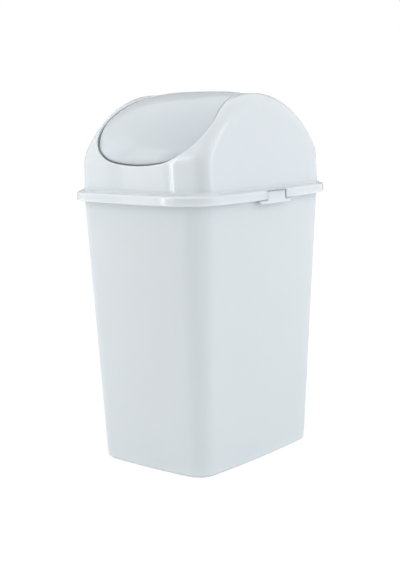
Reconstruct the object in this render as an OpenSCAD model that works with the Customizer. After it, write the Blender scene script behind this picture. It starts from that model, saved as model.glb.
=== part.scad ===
// Countertop trash can with a domed lid and a two-way swing flap.
// Three moulded pieces: the bin, the lid that lifts off its rim and the flap that hangs in the lid.
// X runs across the can, Y from front (-Y) to back, Z up. The origin is on the counter, under the middle.

/* [Bin body] */
// Width of the bin at its base
base_width = 118; // [100:1:124]
// Depth of the bin at its base, front to back
base_depth = 156; // [136:1:162]
// Corner radius of the base in plan
base_corner = 17; // [10:0.5:26]
// How far the middle of each side bows out at the base
base_bow = 2.9; // [1:0.1:4]
// Width of the bin under its rim
mouth_width = 143; // [138:0.5:145]
// Depth of the bin under its rim, front to back
mouth_depth = 181; // [175:0.5:183]
// Corner radius of the bin under its rim
mouth_corner = 24; // [18:0.5:28]
// How far the middle of each side bows out at the rim
mouth_bow = 7.4; // [4:0.1:8]
// Height from the counter to the lower edge of the lid's skirt
body_height = 220; // [140:1:260]
// Thickness of the bin's wall
bin_wall = 2; // [1.4:0.1:2.6]
// Thickness of the bin's floor
floor_thick = 2.4; // [1.6:0.1:4]
// Radius of the edge round the base
base_edge = 3; // [1.5:0.1:5]
// Width of the foot that runs round the underside
foot_width = 9; // [7:0.5:16]
// Height of the recess inside the foot
foot_lift = 1.6; // [0.8:0.1:3]

/* [Rim and skirt] */
// Width over the lid's skirt
rim_width = 155; // [153:0.5:160]
// Depth over the lid's skirt
rim_depth = 193; // [191:0.5:198]
// Corner radius of the lid's skirt in plan
rim_corner = 32; // [28:0.5:36]
// Height of the lid's skirt
skirt_height = 8.4; // [7:0.1:12]
// Thickness of the skirt
skirt_wall = 1.8; // [1.2:0.1:2.2]
// Thickness of the ledge between hood and skirt
ledge_thick = 2; // [1.4:0.1:2.6]
// Radius of the ledge's outer top edge
ledge_edge = 1.2; // [0.4:0.1:1.4]
// Thickness of the bin's turned-down rim
rim_wall = 1.6; // [1.2:0.1:1.8]
// Gap between the skirt and the bin's rim
rim_clearance = 0.5; // [0.3:0.1:0.8]
// Gap under the bin's turned-down rim to the skirt's lower edge
lip_rise = 0.9; // [0.3:0.1:1.6]

/* [Locating lugs] */
// Length of the lug where it leaves the rim
lug_length = 46; // [38:1:56]
// Length of the lug along its lower edge
lug_foot = 37; // [28:1:40]
// How far the lug hangs below the skirt
lug_drop = 3.3; // [2:0.1:6]
// Length of the notch in the skirt
notch_length = 25; // [16:0.5:34]
// Height of the notch in the skirt
notch_height = 7.2; // [4:0.1:7.4]
// Gap round the lug inside the notch
notch_gap = 1; // [0.4:0.1:1.4]
// How far the lug's face stands back from the skirt's
lug_setback = 0.3; // [0.1:0.1:0.8]
// Gap between the lug and the skirt above it
lug_gap = 0.3; // [0.3:0.1:0.6]

/* [Lid hood] */
// Width of the hood where it meets the ledge
hood_width = 135.6; // [131:0.2:137]
// Depth of the hood where it meets the ledge
hood_depth = 168.4; // [164:0.2:170]
// Height of the crest above the ledge's top
hood_rise = 76; // [68:0.5:82]
// Radius of the shoulder between wall and crown
shoulder_radius = 22.4; // [14:0.2:26]
// Radius of the crown
crown_radius = 98.5; // [95:0.5:106]
// Radius of the edge between the barrel and each side panel
side_edge = 10.7; // [7:0.1:12]
// Lean of the side panels, in degrees
side_lean = 2.5; // [0:0.1:3.5]
// How far the front and back bow out
hood_bow = 5.4; // [2:0.1:6]
// Depth of the shallow dish in each shoulder, on both sides of its middle
hood_dip = 1.7; // [0:0.1:3]
// Thickness of the hood
hood_wall = 2; // [1.4:0.1:2.2]

/* [Opening and flap] */
// Width of the opening across the crest
waist_width = 88; // [78:0.2:90]
// Radius of the opening's round corners
lobe_radius = 40.2; // [36:0.1:42]
// Distance between the centres of the two corners at each end
lobe_spread = 35; // [28:0.2:36]
// Run over the surface from the crest to those centres
lobe_reach = 66.9; // [56:0.1:68]
// Radius of the opening's edge across the front and back
end_radius = 152; // [100:1:300]
// Radius of the opening's waist at the crest
waist_radius = 30; // [12:1:60]
// Gap between the flap and the opening
flap_gap = 1.2; // [0.9:0.1:1.6]
// Extra gap at the crest, where the flap turns past the waist
waist_relief = 1.3; // [1:0.1:2]
// Clearance between the flap's edge and the inside of the hood
flap_clearance = 0.5; // [0.4:0.1:1]
// How far the flap's middle rises above its edge
flap_crown = 4.7; // [1.5:0.1:5.5]
// Thickness of the flap
flap_wall = 1.8; // [1.4:0.1:2.2]
// Inset of the flap's stiffening rib from its edge
rib_inset = 3; // [2.5:0.1:5]
// Thickness of the rib
rib_thick = 1.6; // [1.2:0.1:2.2]
// Depth of the rib below the flap
rib_depth = 4; // [2:0.1:6]

/* [Pivots] */
// Depth of the pivot below the crest
pivot_drop = 13.4; // [11.5:0.1:15]
// Diameter of the flap's pivot pegs
peg_diameter = 6; // [5:0.1:7]
// Radial clearance of a peg in its bore
peg_fit = 0.05; // [0.03:0.01:0.1]
// Diameter of the shoulder on each peg
collar_diameter = 9.6; // [8.4:0.1:11]
// Play between a shoulder and its hanger
collar_play = 0.4; // [0.3:0.1:0.8]
// Thickness of the hangers in the hood
hanger_thick = 3; // [2:0.1:4]
// Width of the hangers
hanger_width = 15; // [13:0.5:18]
// How far the hangers stand outside the opening
hanger_offset = 1.8; // [1:0.1:4]
// How far a peg passes through its hanger
peg_past = 1.5; // [0.8:0.1:3]
// Thickness of the flap's ears
ear_thick = 3.2; // [2.4:0.1:4]
// Width of the flap's ears
ear_width = 12; // [10.5:0.5:14]

/* [Smoothness] */
// Steps along each long side of a plan outline
side_steps = 5; // [3:1:8]
// Steps round each plan corner
corner_steps = 8; // [5:1:12]
// Steps round the edges of the bin's floor
floor_edge_steps = 3; // [2:1:6]
// Steps round the edges of the hood
edge_steps = 6; // [4:1:8]
// Steps along half of the crown
crown_steps = 12; // [8:1:18]
// Steps along each shoulder
shoulder_steps = 5; // [3:1:8]
// Steps along half of the opening's waist
waist_steps = 3; // [2:1:6]
// Steps across the flap
flap_steps = 10; // [6:2:14]
// Facets on pegs and bores
round_facets = 48; // [24:4:96]

/* [Hidden] */
bin_colour = "#dfe4ea";
lid_colour = "#eaeef4";
flap_colour = "#e2e7ee";

rim_height = body_height + skirt_height - ledge_thick;
ledge_top = rim_height + ledge_thick;
crest = ledge_top + hood_rise;
pivot_height = crest - pivot_drop;
floor_height = foot_lift + floor_thick;
edge_turns = [for (i = [0:floor_edge_steps]) 90 * i / floor_edge_steps];
overlap = 1;

// Powers of the curves that shape a patch: the flap's crown across and along it, and how soon its rows bend
crown_square = 4;
crown_fade = 6;
row_fade = 4;
// How much of a whole dish each half of a shoulder has before its side panel cuts it short
dish_share = 0.9;

rim_skin = skirt_wall + rim_clearance;
lip_bottom = body_height + lip_rise;

shoulder_y = hood_depth / 2 - shoulder_radius;
crown_z = crest - crown_radius;
shoulder_z = crown_z + sqrt(pow(crown_radius - shoulder_radius, 2) - pow(shoulder_y, 2));
crown_turn = atan2(shoulder_y, shoulder_z - crown_z);
crown_run = crown_radius * crown_turn * PI / 180;
shoulder_run = shoulder_radius * (90 - crown_turn) * PI / 180;
wall_run = shoulder_z - rim_height;
hood_run = crown_run + shoulder_run + wall_run;

// The arc across each end of the opening: its centre, and the turn at which it meets the corners
end_centre = lobe_reach - sqrt(pow(end_radius - lobe_radius, 2) - pow(lobe_spread / 2, 2));
end_turn = atan2(lobe_reach - end_centre, lobe_spread / 2);

flap_drop = hood_wall + flap_clearance;
waist_half = waist_width / 2;
hanger_x = waist_half + hanger_offset;
collar_end = hanger_x - collar_play;
ear_x = waist_half - flap_gap - waist_relief - rib_inset + overlap;
peg_end = hanger_x + hanger_thick + peg_past;

// ---- Plan outlines of the bin and the rim ----

// Upper right meeting point of a circle on the Y axis and one on the X axis
function meet(y0, r0, x1, r1) =
    let (
        gap = norm([x1, y0]),
        along = (r0 * r0 - r1 * r1 + gap * gap) / (2 * gap),
        aside = sqrt(r0 * r0 - along * along),
        way = [x1, -y0] / gap
    )
    [0, y0] + along * way + aside * [way.y, -way.x];

// One quarter of an outline with bowed sides, from the middle of the back to the middle of the side
function quarter(half_x, half_y, corner, bow) =
    let (
        end_radius = (half_x * half_x + bow * bow) / (2 * bow),
        side_radius = (half_y * half_y + bow * bow) / (2 * bow),
        y0 = half_y - end_radius,
        x1 = half_x - side_radius,
        c = meet(y0, end_radius - corner, x1, side_radius - corner),
        turn_a = atan2(c.y - y0, c.x),
        turn_b = atan2(c.y, c.x - x1)
    )
    concat(
        [for (i = [0:side_steps - 1])
            let (t = 90 + (turn_a - 90) * i / side_steps)
            [end_radius * cos(t), y0 + end_radius * sin(t)]],
        [for (i = [0:corner_steps])
            let (t = turn_a + (turn_b - turn_a) * i / corner_steps)
            c + corner * [cos(t), sin(t)]],
        [for (i = [1:side_steps])
            let (t = turn_b * (1 - i / side_steps))
            [x1 + side_radius * cos(t), side_radius * sin(t)]]
    );

function reversed(list) = [for (i = [len(list) - 1:-1:0]) list[i]];

// A quarter mirrored into a whole outline that runs clockwise from the middle of the back
function mirrored(q) =
    let (
        end = len(q) - 1,
        right = concat(q, [for (i = [end - 1:-1:1]) [q[i].x, -q[i].y]]),
        left = concat(
            [for (i = [0:end]) [-q[i].x, -q[i].y]],
            [for (i = [end - 1:-1:1]) [-q[i].x, q[i].y]]
        )
    )
    concat(right, left);

function mix(a, b, t) = a + (b - a) * t;

// The bin's skin at a height, moved out by grow
function body_outline(height, grow) =
    let (t = height / body_height)
    mirrored(quarter(
        mix(base_width, mouth_width, t) / 2 + grow,
        mix(base_depth, mouth_depth, t) / 2 + grow,
        mix(base_corner, mouth_corner, t) + grow,
        mix(base_bow, mouth_bow, t)
    ));

// The outside of the skirt, moved out by grow
function rim_outline(grow) =
    mirrored(quarter(rim_width / 2 + grow, rim_depth / 2 + grow, rim_corner + grow, mouth_bow));

function raised(outline, height) = [for (p = outline) [p.x, p.y, height]];
function body_ring(height, grow) = raised(body_outline(height, grow), height);
function rim_ring(height, grow) = raised(rim_outline(grow), height);

// Skins a list of rings that all have as many points, and closes both ends
module loft(rings) {
    n = len(rings[0]);
    last = len(rings) - 1;
    polyhedron(
        points = [for (r = rings) each r],
        faces = concat(
            [[for (i = [n - 1:-1:0]) i]],
            [for (k = [0:last - 1], i = [0:n - 1])
                let (a = k * n + i, b = k * n + (i + 1) % n)
                each [[a, b, a + n], [b, b + n, a + n]]],
            [[for (i = [0:n - 1]) last * n + i]]
        )
    );
}

// ---- Bin ----

// Rings round the bin's wall in section: under the foot, up the outside, over the rim, down the inside
function bin_rings() = concat(
    [
        body_ring(foot_lift, foot_lift - foot_width),
        body_ring(0, -foot_width)
    ],
    [for (t = edge_turns) body_ring(base_edge * (1 - cos(t)), base_edge * (sin(t) - 1))],
    [
        body_ring(rim_height - rim_wall, 0),
        rim_ring(rim_height - rim_wall, -rim_skin - rim_wall),
        rim_ring(lip_bottom, -rim_skin - rim_wall),
        rim_ring(lip_bottom, -rim_skin),
        rim_ring(rim_height - rim_wall / 2, -rim_skin),
        rim_ring(rim_height, -rim_skin - rim_wall / 2),
        body_ring(rim_height, -bin_wall)
    ],
    [for (t = edge_turns)
        body_ring(floor_height + base_edge * (1 - sin(t)), -bin_wall - base_edge * (1 - cos(t)))]
);

// Lug under the middle of a long side, seen from outside: wide below the skirt, narrow in its notch
function lug_face() = [
    [-lug_foot / 2, body_height - lug_drop],
    [lug_foot / 2, body_height - lug_drop],
    [lug_length / 2, body_height - lug_gap],
    [notch_length / 2 - notch_gap, body_height - lug_gap],
    [notch_length / 2 - notch_gap, body_height + notch_height - notch_gap - ledge_edge],
    [-notch_length / 2 + notch_gap, body_height + notch_height - notch_gap - ledge_edge],
    [-notch_length / 2 + notch_gap, body_height - lug_gap],
    [-lug_length / 2, body_height - lug_gap]
];

module lug() {
    reach = rim_skin + rim_wall;
    intersection() {
        translate([rim_width / 2 - reach, 0, 0])
            rotate([90, 0, 90])
            linear_extrude(reach)
            polygon(lug_face());
        translate([0, 0, body_height - lug_drop - overlap])
            linear_extrude(lug_drop + skirt_height)
            polygon(rim_outline(-lug_setback));
    }
}

module bin_body() {
    color(bin_colour)
    union() {
        loft(bin_rings());
        lug();
        mirror([1, 0, 0]) lug();
    }
}

// ---- Lid ----

// Side profile of the hood by run over its surface from the crest: [y, z, turn of the normal from upright]
function arch(run) =
    let (
        u = abs(run),
        way = run < 0 ? -1 : 1,
        crown_t = u / crown_radius * 180 / PI,
        shoulder_t = crown_turn + (u - crown_run) / shoulder_radius * 180 / PI
    )
    u < crown_run ? [way * crown_radius * sin(crown_t), crown_z + crown_radius * cos(crown_t), way * crown_t]
    : u < crown_run + shoulder_run
    ? [way * (shoulder_y + shoulder_radius * sin(shoulder_t)),
        shoulder_z + shoulder_radius * cos(shoulder_t), way * shoulder_t]
    : [way * hood_depth / 2, shoulder_z - (u - crown_run - shoulder_run), way * 90];

// A point on the hood's skin: x across, run from the crest, height over the skin
function skin(x, run, lift) =
    let (
        a = arch(run),
        aside = pow(2 * x / hood_width, 2),
        dish = 4 * dish_share * aside * (1 - dish_share * aside),
        level = lift - hood_dip * dish * pow(sin(2 * a[2]), 2)
    )
    [x, a[0] + (level - hood_bow * aside) * sin(a[2]), a[1] + level * cos(a[2])];

// Leans the side panels in as they rise
function leaned(p) = [p.x * (1 - tan(side_lean) * (p.z - ledge_top) * 2 / hood_width), p.y, p.z];

// Runs at which the hood is sampled, from the front edge over the crest to the back edge
function hood_runs() =
    let (
        half = concat(
            [for (i = [0:crown_steps - 1]) crown_run * i / crown_steps],
            [for (i = [0:shoulder_steps]) crown_run + shoulder_run * i / shoulder_steps],
            [hood_run]
        )
    )
    concat([for (i = [len(half) - 1:-1:1]) -half[i]], half);

// Stations across the hood: [x, drop of the skin], with the round edges to both side panels
function hood_stations(inset) =
    let (
        radius = side_edge - inset,
        flat = hood_width / 2 - side_edge,
        half = concat(
            [for (i = [0:side_steps - 1]) [flat * i / side_steps, -inset]],
            [for (i = [0:edge_steps])
                let (t = 90 * i / edge_steps)
                [flat + radius * sin(t), -inset - radius * (1 - cos(t))]]
        )
    )
    concat([for (i = [len(half) - 1:-1:1]) [-half[i][0], half[i][1]]], half);

// Closed shell of the hood, open below
module hood_shell() {
    runs = hood_runs();
    n = len(runs);
    outer = hood_stations(0);
    inner = hood_stations(hood_wall);
    m = len(outer);
    skin_size = m * n;
    polyhedron(
        points = concat(
            [for (s = outer, r = runs) leaned(skin(s[0], r, s[1]))],
            [for (s = inner, r = runs) leaned(skin(s[0], r, s[1]))]
        ),
        faces = concat(
            [for (i = [0:m - 2], j = [0:n - 2])
                let (a = i * n + j, b = a + n)
                each [[a, a + 1, b], [b, a + 1, b + 1]]],
            [for (i = [0:m - 2], j = [0:n - 2])
                let (a = skin_size + i * n + j, b = a + n)
                each [[a, b, a + 1], [b, b + 1, a + 1]]],
            [[for (j = [n - 1:-1:0]) j]],
            [[for (j = [0:n - 1]) (m - 1) * n + j]],
            [[for (j = [0:n - 1]) skin_size + j]],
            [[for (j = [n - 1:-1:0]) skin_size + (m - 1) * n + j]],
            [for (i = [0:m - 2])
                let (a = i * n, b = a + n, c = a + skin_size, d = b + skin_size)
                each [[a, b, c], [b, d, c]]],
            [for (i = [0:m - 2])
                let (a = i * n + n - 1, b = a + n, c = a + skin_size, d = b + skin_size)
                each [[a, c, b], [b, c, d]]],
            [
                [0, skin_size, n - 1],
                [n - 1, skin_size, skin_size + n - 1],
                [(m - 1) * n, m * n - 1, skin_size + (m - 1) * n],
                [m * n - 1, 2 * m * n - 1, skin_size + (m - 1) * n]
            ]
        )
    );
}

// Edge of the opening in one quarter, moved in by inset and by relief more at the crest: the waist's
// arc, a straight that touches it and the arc of a round corner. Points are [half width, run].
function lobe_edge(inset, relief) =
    let (
        lobe = [lobe_spread / 2, lobe_reach],
        waist = [waist_half + waist_radius - relief, 0],
        lobe_r = lobe_radius - inset,
        waist_r = waist_radius + inset,
        way = waist - lobe,
        lean = atan2(way.y, way.x) + acos((lobe_r + waist_r) / norm(way)),
        normal = [cos(lean), sin(lean)],
        from = waist - waist_r * normal,
        to = lobe + lobe_r * normal
    )
    concat(
        [for (i = [0:waist_steps - 1])
            let (t = lean * i / waist_steps)
            waist - waist_r * [cos(t), sin(t)]],
        [for (i = [0:side_steps]) mix(from, to, i / (side_steps + 1))],
        [for (i = [0:corner_steps])
            let (t = mix(lean, end_turn, i / corner_steps))
            lobe + lobe_r * [cos(t), sin(t)]]
    );

// Run of the edge across an end of the opening, at a distance x from the middle
function end_run(x, inset) = end_centre + sqrt(pow(end_radius - inset, 2) - x * x);

// The whole of that edge, moved in, as a ring of points [x, run]
function opening_ring(inset, relief) =
    let (
        side = lobe_edge(inset, relief),
        corner = side[len(side) - 1],
        end = [for (i = [0:side_steps - 1])
            let (x = corner.x * i / side_steps)
            [x, end_run(x, inset)]]
    )
    mirrored(concat(end, reversed(side)));

// A patch of the hood's skin inside the opening's edge, between two heights over the skin. Its rows run
// straight across at the crest and follow the edge's arc at both ends.
module patch(inset, relief, top, bottom, crown) {
    side = lobe_edge(inset, relief);
    corner = side[len(side) - 1];
    front = [for (i = [len(side) - 1:-1:1]) [side[i].x, -side[i].y]];
    rows = concat(front, side);
    n = len(rows);
    across = flap_steps;
    columns = across + 1;
    size = n * columns;
    polyhedron(
        points = [for (level = [top, bottom], row = rows, i = [0:across])
            let (
                u = 2 * i / across - 1,
                share = row.y / corner.y,
                bulge = (end_run(u * corner.x, inset) - corner.y) * pow(share, row_fade) * sign(share),
                swell = crown * (1 - pow(u, crown_square)) * (1 - pow(share, crown_fade))
            )
            skin(u * row.x, row.y + bulge, level + swell)],
        faces = concat(
            [for (j = [0:n - 2], i = [0:across - 1])
                let (a = j * columns + i, b = a + columns)
                each [[a, b, a + 1], [b, b + 1, a + 1]]],
            [for (j = [0:n - 2], i = [0:across - 1])
                let (a = size + j * columns + i, b = a + columns)
                each [[a, a + 1, b], [b, a + 1, b + 1]]],
            [for (j = [0:n - 2])
                let (a = j * columns, b = a + columns)
                each [[a, a + size, b], [b, a + size, b + size]]],
            [for (j = [0:n - 2])
                let (a = j * columns + across, b = a + columns)
                each [[a, b, a + size], [b, b + size, a + size]]],
            [for (i = [0:across - 1])
                each [[i, i + 1, i + size], [i + 1, i + 1 + size, i + size]]],
            [for (i = [0:across - 1])
                let (a = (n - 1) * columns + i)
                each [[a, a + size, a + 1], [a + 1, a + size, a + 1 + size]]]
        )
    );
}

module ledge_and_skirt() {
    inner = [for (s = hood_stations(hood_wall / 2)) skin(s[0], hood_run, s[1])];
    back = [for (p = inner) [p.x, p.y]];
    hole = concat(back, [for (p = reversed(back)) [p.x, -p.y]]);
    difference() {
        loft([
            rim_ring(body_height, 0),
            rim_ring(ledge_top - ledge_edge, 0),
            rim_ring(ledge_top - ledge_edge * (1 - sin(45)), -ledge_edge * (1 - cos(45))),
            rim_ring(ledge_top, -ledge_edge)
        ]);
        translate([0, 0, body_height - overlap])
            linear_extrude(skirt_height - ledge_thick + overlap)
            polygon(rim_outline(-skirt_wall));
        translate([0, 0, body_height])
            linear_extrude(skirt_height + overlap)
            polygon(hole);
        for (side = [-1, 1])
            translate([side * rim_width / 2, 0, body_height + notch_height / 2 - overlap / 2])
            cube([2 * rim_skin, notch_length, notch_height + overlap], center = true);
    }
}

// Plate under the crest that carries one of the flap's pegs
module hanger() {
    top = crest - hood_wall / 2;
    translate([hanger_x, 0, 0])
        difference() {
            union() {
                translate([0, -hanger_width / 2, pivot_height])
                    cube([hanger_thick, hanger_width, top - pivot_height - overlap / 2]);
                translate([0, 0, pivot_height])
                    rotate([0, 90, 0])
                    cylinder(h = hanger_thick, d = hanger_width, $fn = round_facets);
            }
            translate([-overlap, 0, pivot_height])
                rotate([0, 90, 0])
                cylinder(h = hanger_thick + 2 * overlap, d = peg_diameter + 2 * peg_fit, $fn = round_facets);
        }
}

module lid_hood() {
    color(lid_colour)
    union() {
        difference() {
            hood_shell();
            patch(0, 0, hood_wall, -3 * hood_wall, 0);
        }
        ledge_and_skirt();
        hanger();
        mirror([1, 0, 0]) hanger();
    }
}

// ---- Flap ----

// Rib that runs round under the flap, a little inside its edge
module flap_rib() {
    top = -flap_drop - flap_wall / 2;
    bottom = -flap_drop - flap_wall - rib_depth;
    corners = [[0, top], [0, bottom], [rib_thick, bottom], [rib_thick, top]];
    rings = [for (c = corners)
        [for (p = opening_ring(flap_gap + rib_inset + c[0], waist_relief)) skin(p.x, p.y, c[1])]];
    n = len(rings[0]);
    sides = len(rings);
    polyhedron(
        points = [for (r = rings) each r],
        faces = [for (k = [0:sides - 1], i = [0:n - 1])
            let (
                near = k * n,
                far = (k + 1) % sides * n,
                j = (i + 1) % n
            )
            each [[near + i, far + i, near + j], [near + j, far + i, far + j]]]
    );
}

// Ear, shoulder and peg on one side of the flap
module ear() {
    top = crest - flap_drop - flap_wall / 2;
    translate([ear_x - ear_thick, -ear_width / 2, pivot_height])
        cube([ear_thick, ear_width, top - pivot_height]);
    translate([0, 0, pivot_height])
        rotate([0, 90, 0]) {
            translate([0, 0, ear_x - ear_thick])
                cylinder(h = ear_thick, d = ear_width, $fn = round_facets);
            translate([0, 0, ear_x - overlap])
                cylinder(h = collar_end - ear_x + overlap, d = collar_diameter, $fn = round_facets);
            translate([0, 0, collar_end - overlap])
                cylinder(h = peg_end - collar_end + overlap, d = peg_diameter, $fn = round_facets);
        }
}

module swing_flap() {
    color(flap_colour)
    union() {
        patch(flap_gap, waist_relief, -flap_drop, -flap_drop - flap_wall, flap_crown);
        flap_rib();
        ear();
        mirror([1, 0, 0]) ear();
    }
}

bin_body();
lid_hood();
swing_flap();
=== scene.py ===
"""Looks of a countertop trash can with a domed lift-off lid and a two-way swing flap.

Three mouldings are drawn here with smooth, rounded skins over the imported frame: the bin with its
two locating lugs, the hood with its two hangers and the flap with its two pivots. Lengths are
millimetres until a mesh is made. X runs across the can, Y from front to back and Z up from the
counter.
"""
import logging
import math
from collections.abc import Sequence
from dataclasses import dataclass
from enum import Enum
from functools import cache
from typing import Any

import bmesh
import bpy
import numpy as np
from bpy.types import Material, Node, NodeSocket, Object, World
from mathutils import Matrix, Vector


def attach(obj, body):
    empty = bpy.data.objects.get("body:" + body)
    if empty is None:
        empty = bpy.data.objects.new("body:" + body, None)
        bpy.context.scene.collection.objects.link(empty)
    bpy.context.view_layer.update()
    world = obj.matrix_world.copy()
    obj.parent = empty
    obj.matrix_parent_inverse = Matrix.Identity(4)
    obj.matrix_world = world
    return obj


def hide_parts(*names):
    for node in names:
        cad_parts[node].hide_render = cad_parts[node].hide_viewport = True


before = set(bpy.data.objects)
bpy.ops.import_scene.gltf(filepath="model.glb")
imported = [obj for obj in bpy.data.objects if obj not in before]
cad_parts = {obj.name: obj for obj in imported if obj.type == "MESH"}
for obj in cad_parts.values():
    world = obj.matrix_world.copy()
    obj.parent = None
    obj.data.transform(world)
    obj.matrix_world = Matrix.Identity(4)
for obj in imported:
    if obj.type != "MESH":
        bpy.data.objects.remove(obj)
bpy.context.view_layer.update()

Array = np.ndarray
Triple = tuple[float, float, float]

LOG = logging.getLogger("trash_can")
MM = 0.001
WELD = 1e-7

# Heights at which the bin, the lid and the flap meet.
BODY_HEIGHT = 220.0
RIM_HEIGHT = 226.4
PIVOT_HEIGHT = 291.0


class Side(Enum):
    """The two sides of the can that carry a lug, a hanger and a pivot each."""

    LEFT = -1
    RIGHT = 1


class Body(Enum):
    """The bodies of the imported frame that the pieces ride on."""

    BIN = "bin"
    LID = "lid"
    FLAP = "flap"


# ---------------------------------------------------------------- shader graphs


class Wire:
    """An output of a shader node, used as a number in a Python expression."""

    def __init__(self, graph: "ShaderGraph", socket: NodeSocket) -> None:
        """Wraps an output socket of one of the graph's nodes."""
        self.graph = graph
        self.socket = socket

    def _math(self, operation: str, *values: "Wire | float") -> "Wire":
        """Adds a Math node over the given values and returns its result."""
        inputs = dict(enumerate(values))
        return self.graph.output("ShaderNodeMath", {"operation": operation}, inputs)

    def __add__(self, other: "Wire | float") -> "Wire":
        """Sum of two values."""
        return self._math("ADD", self, other)

    def __sub__(self, other: "Wire | float") -> "Wire":
        """Difference of two values."""
        return self._math("SUBTRACT", self, other)

    def __rsub__(self, other: float) -> "Wire":
        """Difference with the number on the left."""
        return self._math("SUBTRACT", other, self)

    def __mul__(self, other: "Wire | float") -> "Wire":
        """Product of two values."""
        return self._math("MULTIPLY", self, other)

    __radd__ = __add__
    __rmul__ = __mul__

    def largest(self, other: "Wire | float") -> "Wire":
        """The larger of two values."""
        return self._math("MAXIMUM", self, other)


class ShaderGraph:
    """The node tree of a material or of the world, emptied and filled again by expressions."""

    def __init__(self, owner: Material | World) -> None:
        """Takes over a node tree.

        Args:
            owner: The material or world that the tree belongs to.
        """
        owner.use_nodes = True
        self.tree = owner.node_tree
        self.tree.nodes.clear()

    def node(
        self,
        kind: str,
        settings: dict[str, Any] | None = None,
        values: dict[str | int, Any] | None = None,
    ) -> Node:
        """Adds a node.

        Args:
            kind: The node's type, such as ShaderNodeMath.
            settings: The node's own properties, which are set first.
            values: A number, colour, vector or Wire for each input, by its name or place.

        Returns:
            The new node.
        """
        made = self.tree.nodes.new(kind)
        for name, value in (settings or {}).items():
            setattr(made, name, value)
        for name, value in (values or {}).items():
            socket = made.inputs[name]
            if isinstance(value, Wire):
                self.tree.links.new(value.socket, socket)
            else:
                socket.default_value = value
        return made

    def output(
        self,
        kind: str,
        settings: dict[str, Any] | None = None,
        values: dict[str | int, Any] | None = None,
        name: str | int = 0,
    ) -> Wire:
        """Adds a node as node() does, and returns the output with the given name or place."""
        return Wire(self, self.node(kind, settings, values).outputs[name])

    def mixed_colour(self, share: Wire, start: Triple, stop: Triple) -> Wire:
        """Adds a mix of two colours.

        Args:
            share: 0 for the first colour and 1 for the second.
            start: First colour, linear red, green and blue.
            stop: Second colour.

        Returns:
            The mixed colour.
        """
        factor, first, second, result = 0, 6, 7, 2
        return self.output(
            "ShaderNodeMix",
            {"data_type": "RGBA"},
            {factor: share, first: (*start, 1.0), second: (*stop, 1.0)},
            result,
        )

    def noise(self, where: Wire, size: float, detail: float) -> Wire:
        """Soft noise of 0 to 1, in blotches of a size in millimetres, with octaves of detail."""
        values = {"Vector": where, "Scale": 1 / (size * MM), "Detail": detail}
        return self.output("ShaderNodeTexNoise", None, values, "Fac")

    def bump(self, height: Wire, depth: float, **normal: Wire) -> Wire:
        """A normal for a height of 0 to 1 over a depth in millimetres, upon any Normal given."""
        values = {"Strength": 1.0, "Distance": depth * MM, "Height": height, **normal}
        return self.output("ShaderNodeBump", None, values, "Normal")

    def matt(self, grey: float) -> Wire:
        """A matt grey surface."""
        return self.output("ShaderNodeBsdfDiffuse", None, {"Color": (grey, grey, grey, 1.0)})

    def glow(self, kind: str, strength: Wire | float) -> Wire:
        """A white light of the kind Emission or Background."""
        values = {"Color": (1.0, 1.0, 1.0, 1.0), "Strength": strength}
        return self.output(f"ShaderNode{kind}", None, values)

    def finish(self, surface: Wire, owner: str = "Material") -> None:
        """Ends the tree with the output node of a Material or the World."""
        self.node(f"ShaderNodeOutput{owner}", None, {"Surface": surface})


@dataclass(frozen=True)
class MouldedPlastic:
    """Finish of one moulding, with the body and the slot of the pieces that have it.

    Its colour and sheen have slow blotches, and its surface has a fine grain over the slow waves
    of a thin wall. The glow is the share of the light that enters the plastic and comes out beside
    it, up to about the glow's depth away. Sizes, heights and the depth are in millimetres.
    """

    name: str
    body: Body
    slot: str
    colour: Triple
    roughness: float
    roughness_play: float
    grain_size: float
    grain_height: float
    wave_size: float
    wave_height: float
    blotch_size: float = 45.0
    blotch_share: float = 0.02
    glow: float = 0.8
    glow_depth: float = 5.0
    ior: float = 1.51

    @cache
    def material(self) -> Material:
        """Builds the material once.

        Returns:
            A node material whose colour, roughness and normal vary over the surface.
        """
        made = bpy.data.materials.new(self.name)
        graph = ShaderGraph(made)
        where = graph.output("ShaderNodeTexCoord", name="Object")
        blotch = graph.noise(where, self.blotch_size, detail=2.0)
        grain = graph.noise(where, self.grain_size, detail=3.0)
        wave = graph.noise(where, self.wave_size, detail=1.0)
        waved = graph.bump(wave, self.wave_height)
        shade = tuple(part * (1 - self.blotch_share) for part in self.colour)
        graph.finish(graph.output("ShaderNodeBsdfPrincipled", None, {
            "Base Color": graph.mixed_colour(blotch, self.colour, shade),
            "Roughness": self.roughness + self.roughness_play * (blotch + grain - 1.0),
            "IOR": self.ior,
            "Subsurface Weight": self.glow,
            "Subsurface Radius": (1.0, 1.0, 1.0),
            "Subsurface Scale": self.glow_depth * MM,
            "Normal": graph.bump(grain, self.grain_height, Normal=waved),
        }))
        return made


BIN_PLASTIC = MouldedPlastic(
    "bin_matt_plastic", Body.BIN, "bin_plastic", (0.800, 0.880, 0.918),
    roughness=0.52, roughness_play=0.10, grain_size=0.55, grain_height=0.010,
    wave_size=60.0, wave_height=0.25,
)
LID_PLASTIC = MouldedPlastic(
    "lid_gloss_plastic", Body.LID, "lid_plastic", (0.800, 0.870, 0.920),
    roughness=0.07, roughness_play=0.02, grain_size=1.4, grain_height=0.0012,
    wave_size=38.0, wave_height=0.10,
)
FLAP_PLASTIC = MouldedPlastic(
    "flap_gloss_plastic", Body.FLAP, "flap_plastic", (0.700, 0.770, 0.826),
    roughness=0.13, roughness_play=0.04, grain_size=1.4, grain_height=0.0012,
    wave_size=30.0, wave_height=0.10,
)


# ---------------------------------------------------------------- loops and skins


def stretch(start: float, stop: float, steps: int) -> Array:
    """Even values from start up to but without stop."""
    return np.linspace(start, stop, steps, endpoint=False)


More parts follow.
